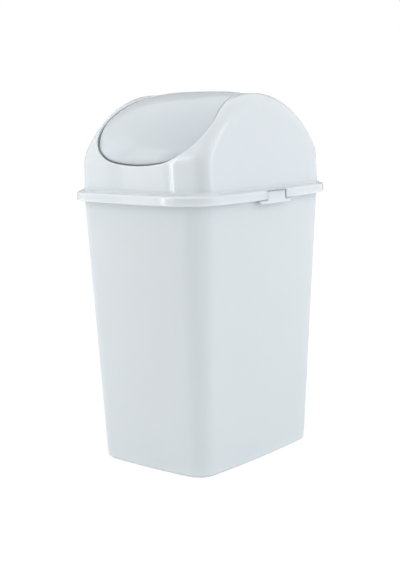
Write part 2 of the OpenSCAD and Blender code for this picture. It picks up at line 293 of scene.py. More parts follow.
def rounding(radius: float, steps: int, turn: float = math.pi / 2) -> list[tuple[float, float]]:
    """The way round a rounded edge, seen from the corner that it replaces.

    Args:
        radius: Radius of the edge.
        steps: Steps on the way.
        turn: How far the edge turns: a quarter turn, or half a turn over a lip.

    Returns:
        Pairs of the length that is left of the radius on the face it comes from, which reaches 0
        after a quarter turn, and the length gone on the face it turns to, which starts at 0.
    """
    turns = np.linspace(0.0, turn, steps + 1)
    return [(radius * (1 - math.sin(t)), radius * (1 - math.cos(t))) for t in turns]


def raised(plan: Array, height: float) -> Array:
    """Plan points [x, y] at a height, as points [x, y, z]."""
    return np.column_stack([plan, np.broadcast_to(height, len(plan))])


def whole_loop(quarter: Array) -> Array:
    """Mirrors a quarter of a loop into the whole loop.

    Args:
        quarter: Points from the middle of the right side to the middle of the back.

    Returns:
        The loop, from the middle of the right side by the back, the left and the front.
    """
    back_half = [quarter[:-1], quarter[:0:-1] * (-1, 1, 1)]
    front_half = [quarter[:-1] * (-1, -1, 1), quarter[:0:-1] * (1, -1, 1)]
    return np.concatenate(back_half + front_half)


@dataclass(frozen=True)
class LoopSteps:
    """How many steps a quarter of each loop takes, and where the skirt's notch ends.

    The step after the notch has no length in most loops. It is the notch's end wall in the skirt.
    """

    notch: int = 6
    side: int = 25
    corner: int = 14
    end: int = 22
    notch_half: float = 12.5

    @property
    def flank(self) -> int:
        """Steps from the middle of a side to the corner."""
        return self.notch + 1 + self.side

    @property
    def total(self) -> int:
        """Steps in the whole quarter."""
        return self.flank + self.corner + self.end


STEPS = LoopSteps()


@dataclass(frozen=True)
class Plan:
    """Outline seen from above, with four bowed sides and four round corners."""

    half_x: float
    half_y: float
    corner: float
    bow: float

    def grown(self, by: float) -> "Plan":
        """The outline moved out by a length."""
        return Plan(self.half_x + by, self.half_y + by, self.corner + by, self.bow)

    def toward(self, other: "Plan", share: float) -> "Plan":
        """The outline on the way to another.

        Args:
            other: The outline at the end of the way.
            share: The share of the way, which may pass 1.

        Returns:
            The outline between them.
        """
        mine = (self.half_x, self.half_y, self.corner, self.bow)
        theirs = (other.half_x, other.half_y, other.corner, other.bow)
        return Plan(*(a + (b - a) * share for a, b in zip(mine, theirs)))

    def bowed(self, half: float) -> float:
        """Radius of a side that is this half as long."""
        return (half**2 + self.bow**2) / (2 * self.bow)

    def side_x(self, y: Array | float) -> Array | float:
        """Half width of the outline at a distance y from its middle, on its long sides."""
        radius = self.bowed(self.half_y)
        return self.half_x - radius + np.sqrt(radius**2 - np.square(y))

    def quarter(self) -> Array:
        """Draws a quarter of the outline.

        Returns:
            Points [x, y] from the middle of the right side to the middle of the back.
        """
        end_radius, side_radius = self.bowed(self.half_x), self.bowed(self.half_y)
        end_y = self.half_y - end_radius
        side_x = self.half_x - side_radius
        gap = math.hypot(side_x, end_y)
        near, far = end_radius - self.corner, side_radius - self.corner
        along = (near**2 - far**2 + gap**2) / (2 * gap)
        aside = math.sqrt(near**2 - along**2)
        way = np.array([side_x, -end_y]) / gap
        centre = np.array([0.0, end_y]) + along * way + aside * np.array([way[1], -way[0]])
        end_turn = math.atan2(centre[1] - end_y, centre[0])
        side_turn = math.atan2(centre[1], centre[0] - side_x)
        y = np.concatenate([
            np.linspace(0.0, STEPS.notch_half, STEPS.notch + 1),
            stretch(STEPS.notch_half, side_radius * math.sin(side_turn), STEPS.side),
        ])
        side = np.column_stack([self.side_x(y), y])
        t = stretch(side_turn, end_turn, STEPS.corner)
        corner = centre + self.corner * np.column_stack([np.cos(t), np.sin(t)])
        t = np.linspace(end_turn, math.pi / 2, STEPS.end + 1)
        end = np.column_stack([end_radius * np.cos(t), end_y + end_radius * np.sin(t)])
        return np.concatenate([side, corner, end])


RIM = Plan(77.5, 96.5, 32.0, 7.4)


class Moulding:
    """One closed body, skinned over rings of points, on its way to be a Blender object."""

    SHARP = math.radians(48)
    EDGE_STEPS = 3
    EDGE_PROFILE = 0.5

    def __init__(self, name: str, rings: Sequence[Array], joined: bool = False) -> None:
        """Skins a row of rings that all have as many points.

        Args:
            name: The name that the object will have.
            rings: The rings, in order, each an array of points [x, y, z].
            joined: Whether the last ring is skinned to the first. If not, both ends are closed.
        """
        self.name = name
        self.mesh = bmesh.new()
        loops = [[self.mesh.verts.new(Vector(p) * MM) for p in ring] for ring in rings]
        pairs = list(zip(loops, loops[1:]))
        if joined:
            pairs.append((loops[-1], loops[0]))
        else:
            self.mesh.faces.new(loops[0])
            self.mesh.faces.new(loops[-1])
        for lower, upper in pairs:
            for i in range(len(lower)):
                j = (i + 1) % len(lower)
                self.mesh.faces.new((lower[i], lower[j], upper[j], upper[i]))

    def build(self, plastic: MouldedPlastic, edge: float = 0.0) -> Object:
        """Welds the skin, rounds its sharp edges and hands it to the frame.

        Args:
            plastic: The finish, which also says the body.
            edge: Radius that sharp edges are rounded by, or 0.

        Returns:
            The object, riding on its body.
        """
        bmesh.ops.remove_doubles(self.mesh, verts=self.mesh.verts[:], dist=WELD)
        bmesh.ops.dissolve_degenerate(self.mesh, edges=self.mesh.edges[:], dist=WELD)
        bmesh.ops.recalc_face_normals(self.mesh, faces=self.mesh.faces[:])
        if edge:
            folds = [e for e in self.mesh.edges if e.is_manifold]
            sharp = [e for e in folds if e.calc_face_angle() > self.SHARP]
            bmesh.ops.bevel(
                self.mesh, geom=sharp, offset=edge * MM, offset_type="OFFSET",
                segments=self.EDGE_STEPS, profile=self.EDGE_PROFILE, affect="EDGES",
                clamp_overlap=True,
            )
        for face in self.mesh.faces:
            face.smooth = True
        data = bpy.data.meshes.new(self.name)
        self.mesh.to_mesh(data)
        open_edges = sum(1 for e in self.mesh.edges if not e.is_manifold)
        if open_edges:
            LOG.warning("%s has %d open edges", self.name, open_edges)
        self.mesh.free()
        piece = bpy.data.objects.new(self.name, data)
        bpy.context.scene.collection.objects.link(piece)
        data.materials.append(plastic.material())
        weights = piece.modifiers.new("even_normals", "WEIGHTED_NORMAL")
        weights.keep_sharp = True
        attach(piece, plastic.body.value)
        return piece


# ---------------------------------------------------------------- the bin


@dataclass
class Bin:
    """The tapered bin with its foot, its turned-down rim and its two locating lugs.

    Each lug has a shelf under the skirt, thin at its ends, and a tab that fills the skirt's notch.
    """

    base: Plan = Plan(59.0, 78.0, 17.0, 2.9)
    mouth: Plan = Plan(71.5, 90.5, 24.0, 7.4)
    rim: Plan = RIM
    body_height: float = BODY_HEIGHT
    rim_height: float = RIM_HEIGHT
    wall: float = 2.0
    floor_thick: float = 2.4
    base_edge: float = 3.0
    foot_width: float = 9.0
    foot_lift: float = 1.6
    foot_edge: float = 0.6
    rim_wall: float = 1.6
    rim_skin: float = 2.3
    lip_bottom: float = 220.9
    rim_edge: float = 1.2
    mouth_edge: float = 0.9
    lug_length: float = 46.0
    lug_foot: float = 37.0
    lug_drop: float = 3.3
    lug_tip: float = 0.4
    lug_setback: float = 0.15
    lug_gap: float = 0.3
    lug_edge: float = 0.4
    lug_edge_share: float = 0.98
    lug_bevel: float = 0.25
    tab_front: float = 12.40
    tab_back: float = 12.45
    tab_top: float = 226.95
    wall_rows: int = 14
    edge_rows: int = 6
    tip_rows: int = 5
    shelf_rows: int = 4
    tab_rows: int = 6

    def body_ring(self, height: float, grow: float) -> Array:
        """The bin's skin at a height, moved out by grow."""
        plan = self.base.toward(self.mouth, height / self.body_height).grown(grow)
        return whole_loop(raised(plan.quarter(), height))

    def rim_ring(self, height: float, grow: float) -> Array:
        """The rim's outline at a height, moved out by grow."""
        return whole_loop(raised(self.rim.grown(grow).quarter(), height))

    def outside(self) -> list[Array]:
        """Draws the foot and the outer wall.

        Returns:
            Rings from the recess under the floor, over the foot, to the top of the wall.
        """
        foot = -self.foot_width
        edge = rounding(self.foot_edge, self.edge_rows)
        rings = [self.body_ring(self.foot_lift - gone, foot - left) for left, gone in edge]
        rings += [self.body_ring(left, foot + gone) for left, gone in edge]
        edge = rounding(self.base_edge, self.edge_rows)
        rings += [self.body_ring(gone, -left) for left, gone in edge]
        shoulder = self.rim_height - self.rim_wall - self.mouth_edge
        heights = np.linspace(self.base_edge, shoulder, self.wall_rows)[1:]
        return rings + [self.body_ring(height, 0.0) for height in heights]

    def lip(self) -> list[Array]:
        """Draws the rim.

        Returns:
            Rings out under the rim, round its turned-down lip and over the top.
        """
        half = self.rim_wall / 2
        top, under = self.rim_height, self.rim_height - self.rim_wall
        skin, inner = -self.rim_skin, -self.rim_skin - self.rim_wall
        mouth = rounding(self.mouth_edge, self.edge_rows)
        rings = [self.body_ring(under - left, gone) for left, gone in mouth]
        edge = rounding(half, self.edge_rows)
        rings += [self.rim_ring(under - gone, inner - left) for left, gone in edge]
        edge = rounding(half, 2 * self.edge_rows, math.pi)
        rings += [self.rim_ring(self.lip_bottom + left, inner + gone) for left, gone in edge]
        edge = rounding(self.rim_edge, self.edge_rows)
        rings += [self.rim_ring(top - left, skin - gone) for left, gone in edge]
        return rings + [self.body_ring(top - gone, -self.wall + left) for left, gone in mouth]

    def inside(self) -> list[Array]:
        """Draws the inner wall.

        Returns:
            Rings down the wall to the floor.
        """
        floor = self.foot_lift + self.floor_thick
        top = self.rim_height - self.mouth_edge
        heights = np.linspace(top, floor + self.base_edge, self.wall_rows)[1:]
        rings = [self.body_ring(height, -self.wall) for height in heights]
        edge = rounding(self.base_edge, self.edge_rows)[1:]
        return rings + [self.body_ring(floor + left, -self.wall - gone) for left, gone in edge]

    def lug_section(self, y: float, bottom: float, top: float) -> Array:
        """Section across a lug, a rectangle with round corners.

        Args:
            y: Distance along the side from its middle.
            bottom: Height of the lug's lower edge there.
            top: Height of its upper edge.

        Returns:
            The section's points as a closed ring on the right side.
        """
        outer = float(self.rim.grown(-self.lug_setback).side_x(y))
        inner = float(self.rim.grown(-self.rim_skin - self.rim_wall / 2).side_x(y))
        radius = min(self.lug_edge, (top - bottom) / 2 * self.lug_edge_share)
        edge = rounding(radius, self.edge_rows)
        corners = [
            (outer, bottom, 1, -1), (outer, top, 1, 1),
            (inner, top, -1, 1), (inner, bottom, -1, -1),
        ]
        return np.array([
            (x - way_x * left, y, z - way_z * gone)
            for x, z, way_x, way_z in corners
            for left, gone in edge[:: way_x * way_z]
        ])

    def lug(self, side: Side) -> Object:
        """Builds the lug of one side.

        Args:
            side: The side that it is on.

        Returns:
            The piece.
        """
        low = self.body_height - self.lug_drop
        brow = self.body_height - self.lug_gap
        long, foot = self.lug_length / 2, self.lug_foot / 2
        stations = []
        for way, tab_end in ((1, self.tab_back), (-1, self.tab_front)):
            half = []
            for y in np.linspace(long, foot, self.tip_rows):
                share = (y - foot) / (long - foot)
                half.append((way * y, low + (brow - self.lug_tip - low) * share, brow))
            half += [(way * y, low, brow) for y in np.linspace(foot, tab_end, self.shelf_rows)[1:]]
            half += [(way * y, low, self.tab_top) for y in stretch(tab_end, 0.0, self.tab_rows)]
            stations += half[::way]
        rings = [self.lug_section(*station) * (side.value, 1, 1) for station in stations]
        return Moulding(f"bin_lug_{side.name.lower()}", rings).build(BIN_PLASTIC, self.lug_bevel)

    def build(self) -> list[Object]:
        """Builds the bin and its lugs.

        Returns:
            The pieces. The first stands for the frame's bin_body.
        """
        rings = self.outside() + self.lip() + self.inside()
        shell = Moulding("bin_shell", rings).build(BIN_PLASTIC)
        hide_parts("bin_body")
        return [shell] + [self.lug(side) for side in Side]


# ---------------------------------------------------------------- the hood's surface


@dataclass(frozen=True)
class Barrel:
    """The hood's skin, which the flap follows too.

    A point on it is given by its place across the can, its run over the skin from the crest towards
    the back, and its lift off the skin.
    """

    width: float = 135.6
    depth: float = 168.4
    rise: float = 76.0
    foot: float = 228.4
    shoulder_radius: float = 22.4
    crown_radius: float = 98.5
    side_edge: float = 10.7
    side_lean: float = math.radians(2.5)
    bow: float = 5.4
    dip: float = 1.7
    dish_share: float = 0.9

    @property
    def crest(self) -> float:
        """Height of the crest."""
        return self.foot + self.rise

    @property
    def flat(self) -> float:
        """Half width of the barrel between its round side edges."""
        return self.width / 2 - self.side_edge

    @property
    def across(self) -> float:
        """Place across at which the round side edge ends and the side panel begins."""
        return self.flat + self.side_edge * math.pi / 2

    @property
    def shoulder(self) -> tuple[float, float]:
        """Finds the shoulder's arc.

        Returns:
            The y and z of its centre.
        """
        y = self.depth / 2 - self.shoulder_radius
        reach = self.crown_radius - self.shoulder_radius
        return y, self.crest - self.crown_radius + math.sqrt(reach**2 - y**2)

    @property
    def crown_turn(self) -> float:
        """Angle of the crown's arc from the crest to the shoulder."""
        y, z = self.shoulder
        return math.atan2(y, z - self.crest + self.crown_radius)

    def run_at(self, height: float) -> float:
        """Finds a height on the upright wall below the shoulder.

        Args:
            height: The height.

        Returns:
            The run from the crest at which the wall reaches it.
        """
        turn = self.crown_turn
        bend = self.crown_radius * turn + self.shoulder_radius * (math.pi / 2 - turn)
        return bend + self.shoulder[1] - height

    def profile(self, run: Array) -> tuple[Array, Array, Array]:
        """Side profile of the skin.

        Args:
            run: Runs from the crest, towards the back.

        Returns:
            The y, the z and the normal's turn from upright at each run.
        """
        turn, radius = self.crown_turn, self.shoulder_radius
        crown_run = self.crown_radius * turn
        y, z = self.shoulder
        on_crown = run / self.crown_radius
        on_shoulder = np.minimum(turn + (run - crown_run) / radius, math.pi / 2)
        drop = np.maximum(run - crown_run - radius * (math.pi / 2 - turn), 0.0)
        crown = run < crown_run
        crown_z = self.crest - self.crown_radius + self.crown_radius * np.cos(on_crown)
        return (
            np.where(crown, self.crown_radius * np.sin(on_crown), y + radius * np.sin(on_shoulder)),
            np.where(crown, crown_z, z + radius * np.cos(on_shoulder) - drop),
            np.where(crown, on_crown, on_shoulder),
        )

    def skin(self, x: Array, run: Array, lift: Array | float) -> Array:
        """Points on the barrel without its side edges.

        Args:
            x: Distance across from the middle.
            run: Run from the crest.
            lift: Height off the skin.

        Returns:
            Points [x, y, z], lowered by the shallow dish in each shoulder.
        """
        y, z, turn = self.profile(run)
        aside = np.square(2 * x / self.width)
        dish = 4 * self.dish_share * aside * (1 - self.dish_share * aside)
        level = lift - self.dip * dish * np.square(np.sin(2 * turn))
        return np.column_stack([
            x, y + (level - self.bow * aside) * np.sin(turn), z + level * np.cos(turn)
        ])

    def leaned(self, points: Array) -> Array:
        """Points moved in as they rise, as the side panels lean."""
        share = self.lean(points[:, 2])
        return points * np.column_stack([share, np.ones_like(share), np.ones_like(share)])

    def lean(self, z: Array) -> Array:
        """Share of the width that the lean leaves at a height."""
        return 1 - math.tan(self.side_lean) * (z - self.foot) * 2 / self.width

    def hood(self, place: Array, run: Array, lift: float) -> Array:
        """Points on the hood with its round side edges and its lean.

        Args:
            place: Place across, measured over the skin.
            run: Run from the crest.
            lift: Height off the skin, below 0 inside the hood.

        Returns:
            Points [x, y, z].
        """
        turn = np.maximum(place - self.flat, 0.0) / self.side_edge
        x = np.minimum(place, self.flat) + (self.side_edge + lift) * np.sin(turn)
        level = (self.side_edge + lift) * np.cos(turn) - self.side_edge
        return self.leaned(self.skin(x, run, level))

    def place_of(self, x: Array, run: Array) -> Array:
        """Finds places on the hood's skin.

        Args:
            x: Distance across from the middle.
            run: Run from the crest.

        Returns:
            The places across, measured over the skin.
        """
        upright = x / self.lean(self.profile(run)[1])
        past = np.clip((upright - self.flat) / self.side_edge, 0.0, 1.0)
        return np.minimum(upright, self.flat) + self.side_edge * np.arcsin(past)


@dataclass(frozen=True)
class Opening:
    """Outline of the flap's opening, laid out flat as half width against run."""

    waist_half: float = 44.0
    lobe_radius: float = 40.2
    lobe_half: float = 17.5
    lobe_reach: float = 66.9
    end_radius: float = 152.0
    waist_radius: float = 30.0
    waist_steps: int = 8
    straight_steps: int = 8
    end_steps: int = 8
    corner_start: float = math.radians(40)
    corner_stop: float = math.radians(62)

    @property
    def end_centre(self) -> float:
        """Run of the centre of the arc across an end."""
        reach = self.end_radius - self.lobe_radius
        return self.lobe_reach - math.sqrt(reach**2 - self.lobe_half**2)

    @property
    def end_turn(self) -> float:
        """Turn at which that arc meets the round corners."""
        return math.atan2(self.lobe_reach - self.end_centre, self.lobe_half)

    def edge(self, inset: float, relief: float = 0.0) -> Array:
        """A quarter of the outline.

        Args:
            inset: How far it is moved in, below 0 to move it out.
            relief: How much further it is moved in at the waist.

        Returns:
            Points [half width, run] from the waist to the middle of the end.
        """
        lobe = np.array([self.lobe_half, self.lobe_reach])
        waist = np.array([self.waist_half + self.waist_radius - relief, 0.0])
        lobe_radius = self.lobe_radius - inset
        waist_radius = self.waist_radius + inset
        way = waist - lobe
        lean = math.atan2(way[1], way[0])
        lean += math.acos((lobe_radius + waist_radius) / math.hypot(*way))
        t = stretch(0.0, lean, self.waist_steps)
        hollow = waist - waist_radius * np.column_stack([np.cos(t), np.sin(t)])
        normal = np.array([math.cos(lean), math.sin(lean)])
        start, stop = waist - waist_radius * normal, lobe + lobe_radius * normal
        straight = start + np.outer(stretch(0.0, 1.0, self.straight_steps), stop - start)
        side_steps = STEPS.flank - self.waist_steps - self.straight_steps
        t = np.concatenate([
            stretch(lean, self.corner_start, side_steps),
            stretch(self.corner_start, self.corner_stop, STEPS.corner),
            stretch(self.corner_stop, self.end_turn, STEPS.end - self.end_steps),
        ])
        lobes = lobe + lobe_radius * np.column_stack([np.cos(t), np.sin(t)])
        t = np.linspace(self.end_turn, math.pi / 2, self.end_steps + 1)
        end_radius = self.end_radius - inset
        end = np.column_stack([end_radius * np.cos(t), self.end_centre + end_radius * np.sin(t)])
        return np.concatenate([hollow, straight, lobes, end])

    def shares(self, x: Array, run: Array, inset: float, relief: float) -> tuple[Array, Array]:
        """Where points lie inside the outline.

        Args:
            x: Distance across from the middle.
            run: Run from the crest.
            inset: How far the outline is moved in.
            relief: How much further at the waist.

        Returns:
            The share of the half width and the share of the way to the end, each 1 on the outline.
        """
        side = self.edge(inset, relief)[: STEPS.total - self.end_steps + 1]
        sideways = x / np.interp(run, side[:, 1], side[:, 0])
        reach = np.square(self.end_radius - inset) - np.square(sideways * side[-1, 0])
        return sideways, run / (self.end_centre + np.sqrt(reach))


BARREL = Barrel()
OPENING = Opening()


# ---------------------------------------------------------------- the lid


@dataclass
class Lid:
    """The domed hood, its ledge and skirt, and the two hangers that carry the flap."""

    rim: Plan = RIM
    body_height: float = BODY_HEIGHT
    ledge_under: float = RIM_HEIGHT
    wall: float = 2.0
    skirt_wall: float = 1.8
    ledge_edge: float = 1.7
    ledge_fall: float = 1.0
    notch_top: float = 227.0
    notch_depth: float = 2.3
    foot_fillet: float = 2.2
    under_edge: float = 0.5
    lip_edge: float = 0.55
    lip_inner_edge: float = 0.4
    notch_bevel: float = 0.22
    hanger_x: float = 45.8
    hanger_thick: float = 3.0
    hanger_width: float = 15.0
    hanger_bevel: float = 0.4
    bore: float = 6.1
    hood_rows: int = 16
    hood_fan: int = 3
    near_rows: tuple[float, ...] = (1.2, 2.0)
    panel_rows: int = 8
    edge_rows: int = 5

    def plan_ring(self, grow: float, height: float) -> Array:
        """Draws the hood's outline above the ledge.

        Args:
            grow: How far it is moved out.
            height: Its height.

        Returns:
            A quarter of the outline.
        """
        barrel = BARREL
        corner = math.pi / 2 - np.linspace(0.0, math.pi / 2, STEPS.corner + 1)[:-1]
        edge = barrel.side_edge + grow
        middle = np.linspace(barrel.flat, 0.0, STEPS.end + 1)
        x = np.concatenate([barrel.flat + edge * np.sin(corner), middle])
        level = np.concatenate([edge * np.cos(corner), np.full_like(middle, edge)])
        level -= barrel.side_edge
        y = barrel.depth / 2 + level - barrel.bow * np.square(2 * x / barrel.width)
        side_y = y[0] * np.arange(STEPS.flank) / STEPS.flank
        side = np.column_stack([np.full(STEPS.flank, x[0]), side_y])
        return barrel.leaned(raised(np.concatenate([side, np.column_stack([x, y])]), height))

    def hood_quarters(self, lift: float, near: Sequence[float], foot: float) -> list[Array]:
        """Rows of the hood from near the opening to its foot, as quarters.

        Args:
            lift: Height off the skin: 0 outside, minus the wall inside.
            near: Distances from the opening's edge of the first rows, which run along it.
            foot: Height at which the rows end.

        Returns:
            The rows, each a quarter of a loop, from the opening outwards and down the side panels.
        """
        barrel = BARREL
        rows = []
        for distance in near:
            edge = OPENING.edge(-distance)
            rows.append(np.column_stack([barrel.place_of(edge[:, 0], edge[:, 1]), edge[:, 1]]))
        start = rows[-1]
        end_run = barrel.run_at(foot)
        corner_run = start[STEPS.flank, 1]
        side_run = start[: STEPS.flank, 1]
        run = np.concatenate([
            side_run + (end_run - corner_run) * (side_run / corner_run) ** self.hood_fan,
            np.full(STEPS.corner + STEPS.end + 1, end_run),
        ])
        place = np.concatenate([
            np.full(STEPS.flank, barrel.across),
            stretch(barrel.across, barrel.flat, STEPS.corner),
            np.linspace(barrel.flat, 0.0, STEPS.end + 1),
        ])
        stop = np.column_stack([place, run])
        shares = np.linspace(0.0, 1.0, self.hood_rows + 1)[1:]
        rows += [start + (stop - start) * share for share in shares]
        quarters = [barrel.hood(row[:, 0], row[:, 1], lift) for row in rows]
        top, bottom = quarters[-1], self.plan_ring(lift, foot)
        shares = np.linspace(0.0, 1.0, self.panel_rows + 1)[1:]
        return quarters + [top + (bottom - top) * share for share in shares]

    def lip_quarters(self) -> list[Array]:
        """Draws the opening's rounded edge.

        Returns:
            The rows over it, from the inside to the outside, as quarters.
        """
        rows = []
        for face, radius, way in ((-self.wall, self.lip_inner_edge, -1), (0.0, self.lip_edge, 1)):
            for left, gone in rounding(radius, self.edge_rows)[::-way]:
                x, run = OPENING.edge(-left).T
                rows.append(BARREL.hood(BARREL.place_of(x, run), run, face - way * gone))
        return rows

    def skirt_quarters(self) -> list[Array]:
        """Draws the ledge and the skirt.

        Returns:
            The rows over the ledge, down the skirt, round its lower edge and back up inside it, as
            quarters. In the notch they lie along the notch's top instead.
        """
        brow = BARREL.foot - self.ledge_fall
        edge = rounding(self.ledge_edge, self.edge_rows)
        section = [(-left, brow - gone) for left, gone in edge]
        ledge_rows = len(section)
        edge = rounding(self.skirt_wall / 2, 2 * self.edge_rows, math.pi)
        section += [(-gone, self.body_height + left) for left, gone in edge]
        edge = rounding(self.under_edge, self.edge_rows)
        section += [(-self.skirt_wall - gone, self.ledge_under - left) for left, gone in edge]
        section.append((-self.notch_depth - self.under_edge, self.ledge_under))
        notch = STEPS.notch + 1
        rows = []
        for k, (grow, height) in enumerate(section):
            row = raised(self.rim.grown(grow).quarter(), height)
            if k < len(section) - 1:
                deep = -self.notch_depth if k > ledge_rows + self.edge_rows else grow
                level = max(height, self.notch_top) if k < ledge_rows else self.notch_top
                row[:notch] = raised(self.rim.grown(deep).quarter(), level)[:notch]
            rows.append(row)
        return rows

    def shell(self) -> Object:
        """Builds the hood with its ledge and skirt as one closed skin.

        Returns:
            The piece.
        """
        top, bottom = BARREL.foot + self.foot_fillet, self.ledge_under + self.under_edge
        rows = self.hood_quarters(0.0, (self.lip_edge, *self.near_rows), top)
        edge = rounding(self.foot_fillet, self.edge_rows)[1:]
        rows += [self.plan_ring(gone, BARREL.foot + left) for left, gone in edge]
        rows += self.skirt_quarters()
        edge = rounding(self.under_edge, self.edge_rows)[:-1]
        rows += [self.plan_ring(-self.wall + left, self.ledge_under + gone) for left, gone in edge]
        rows += self.hood_quarters(-self.wall, (self.lip_inner_edge, *self.near_rows), bottom)[::-1]
        rows += self.lip_quarters()[1:-1]
        rings = [whole_loop(row) for row in rows]
        return Moulding("hood_shell", rings, joined=True).build(LID_PLASTIC, self.notch_bevel)

    def hanger(self, side: Side) -> Object:
        """Builds the plate under the crest that carries one of the flap's pegs.

        Args:
            side: The side that it is on.

        Returns:
            The piece.
        """
        outline = stirrup(self.hanger_width / 2, BARREL.crest - self.wall / 2 - PIVOT_HEIGHT)
        hole = circle(self.bore / 2, len(outline))
        near, far = self.hanger_x, self.hanger_x + self.hanger_thick
        sections = [(outline, near), (outline, far), (hole, far), (hole, near)]
        rings = [across(points, x, side) for points, x in sections]
        name = f"hood_hanger_{side.name.lower()}"
        return Moulding(name, rings, joined=True).build(LID_PLASTIC, self.hanger_bevel)

    def build(self) -> list[Object]:
        """Builds the lid.

        Returns:
            The pieces. The first stands for the frame's lid_hood.
        """
        shell = self.shell()
        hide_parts("lid_hood")
        return [shell] + [self.hanger(side) for side in Side]


# ---------------------------------------------------------------- plates and pegs about the pivot


def circle(radius: float, count: int) -> Array:
    """Points [y, z] of a circle about the pivot, from its right end downwards."""
    t = -np.linspace(0.0, 2 * math.pi, count, endpoint=False)
    return radius * np.column_stack([np.cos(t), np.sin(t)])


def stirrup(half: float, top: float, sides: int = 12) -> Array:
    """Outline of a plate that is round below the pivot and square above it.

    Args:
        half: Half width, and radius below the pivot.
        top: Height of the square end over the pivot.
        sides: Steps along the top. The lower end takes twice as many, and each side half as many.

    Returns:
        Points [y, z] from the right end of the round part downwards.
    """
    t = -stretch(0.0, math.pi, 2 * sides)
    round_end = half * np.column_stack([np.cos(t), np.sin(t)])
    up = stretch(0.0, top, sides // 2)
    left = np.column_stack([np.full_like(up, -half), up])
    flat = stretch(-half, half, sides)
    crown = np.column_stack([flat, np.full_like(flat, top)])
    down = stretch(top, 0.0, sides // 2)
    right = np.column_stack([np.full_like(down, half), down])
    return np.concatenate([round_end, left, crown, right])


def across(outline: Array, x: float, side: Side) -> Array:
    """Stands points [y, z] about the pivot upright on one side, x from the middle."""
    place = np.full(len(outline), side.value * x)
    return np.column_stack([place, outline[:, 0], outline[:, 1] + PIVOT_HEIGHT])


# ---------------------------------------------------------------- the flap


@dataclass
class Flap:
    """The crowned flap with its stiffening rib, its ears and its pegs."""

    gap: float = 1.05
    relief: float = 1.3
    drop: float = 2.5
    side_drop: float = 0.8
    side_run: tuple[float, float] = (42.0, 84.0)
    rise: float = 2.2
    side_power: int = 4
    end_power: int = 6
    wall: float = 1.8
    rib_inset: float = 3.0
    rib_thick: float = 1.6
    rib_depth: float = 4.0
    top_edge: float = 0.75
    low_edge: float = 0.6
    rib_edge: float = 0.4
    ear_x: float = 39.5
    ear_top: float = 12.4
    ear_thick: float = 3.2
    ear_width: float = 12.0
    ear_bevel: float = 0.25
    collar_end: float = 45.4
    collar: float = 9.6
    collar_fillet: float = 0.8
    peg: float = 6.0
    peg_end: float = 50.3
    peg_chamfer: float = 0.7
    rows: int = 22
    edge_rows: int = 6
    rib_rows: int = 3

    def level(self, x: Array, run: Array) -> Array:
        """Height of the flap's top off the hood's skin.

        Args:
            x: Distance across from the middle.
            run: Run from the crest.

        Returns:
            The height at each point: below the skin along the edge, more so at the ends, and
            crowned between.
        """
        sideways, endways = OPENING.shares(x, run, self.gap, self.relief)
        swell = np.clip(1 - sideways**self.side_power, 0.0, 1.0)
        swell = swell * np.clip(1 - endways**self.end_power, 0.0, 1.0)
        start, stop = self.side_run
        share = np.clip((run - start) / (stop - start), 0.0, 1.0)
        drop = self.side_drop + (self.drop - self.side_drop) * share**2 * (3 - 2 * share)
        return (self.rise + drop) * swell - drop

    def row(self, inset: float, lower: float, share: float = 0.0, plain: bool = False) -> Array:
        """One row along the flap's edge or further in.

        Args:
            inset: Distance in from the flap's edge.
            lower: How far below the flap's top the row lies.
            share: How far it has drawn in to the flap's middle line, 0 to 1.
            plain: Whether it is measured from the uncrowned flap, as the rib's lower edge is.

        Returns:
            The whole row.
        """
        edge = OPENING.edge(self.gap + inset, self.relief)
        spine = np.column_stack([np.zeros(len(edge)), np.minimum(edge[:, 1], OPENING.lobe_reach)])
        x, run = (edge + (spine - edge) * share).T
        level = np.full(len(x), -self.drop) if plain else self.level(x, run)
        return whole_loop(BARREL.skin(x, run, level - lower))

    def shell(self) -> Object:
        """Builds the flap and its rib as one closed skin.

        Returns:
            The piece.
        """
        shares = np.linspace(1.0, 0.0, self.rows + 1)
        wall, depth = self.wall, self.wall + self.rib_depth
        outer, inner = self.rib_inset, self.rib_inset + self.rib_thick
        edges = (self.top_edge, self.low_edge, self.rib_edge)
        top, low, rib = (rounding(edge, self.edge_rows) for edge in edges)
        rib_foot = rounding(self.rib_edge, self.rib_rows)
        rows = [self.row(self.top_edge, 0.0, share) for share in shares[:-1]]
        rows += [self.row(left, gone) for left, gone in top]
        rows += [self.row(gone, wall - left) for left, gone in low]
        rows += [self.row(outer - left, wall + gone) for left, gone in rib]
        rows += [self.row(outer + gone, depth - left, plain=True) for left, gone in rib_foot]
        rows += [self.row(inner - left, depth - gone, plain=True) for left, gone in rib_foot]
        rows += [self.row(inner + gone, wall + left) for left, gone in rib]
        rows += [self.row(inner + self.rib_edge, wall, share) for share in shares[::-1][1:]]
        return Moulding("flap_shell", rows).build(FLAP_PLASTIC)

    def pivot(self, side: Side) -> Object:
        """Builds the ear, the collar and the peg of one side.

        Args:
            side: The side that it is on.

        Returns:
            The piece.
        """
        outline = stirrup(self.ear_width / 2, self.ear_top)
        collar, peg = self.collar / 2, self.peg / 2
        turned = [
            (collar + left, self.ear_x + gone)
            for left, gone in rounding(self.collar_fillet, self.edge_rows)
        ]
        turned += [
            (collar, self.collar_end),
            (peg, self.collar_end),
            (peg, self.peg_end - self.peg_chamfer),
            (peg - self.peg_chamfer, self.peg_end),
        ]
        sections = [(outline, self.ear_x - self.ear_thick), (outline, self.ear_x)]
        sections += [(circle(radius, len(outline)), x) for radius, x in turned]
        rings = [across(points, x, side) for points, x in sections]
        name = f"flap_pivot_{side.name.lower()}"
        return Moulding(name, rings).build(FLAP_PLASTIC, self.ear_bevel)

    def build(self) -> list[Object]:
        """Builds the flap.

        Returns:
            The pieces. The first stands for the frame's swing_flap.
        """
        shell = self.shell()
        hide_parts("swing_flap")
        return [shell] + [self.pivot(side) for side in Side]


# ---------------------------------------------------------------- studio


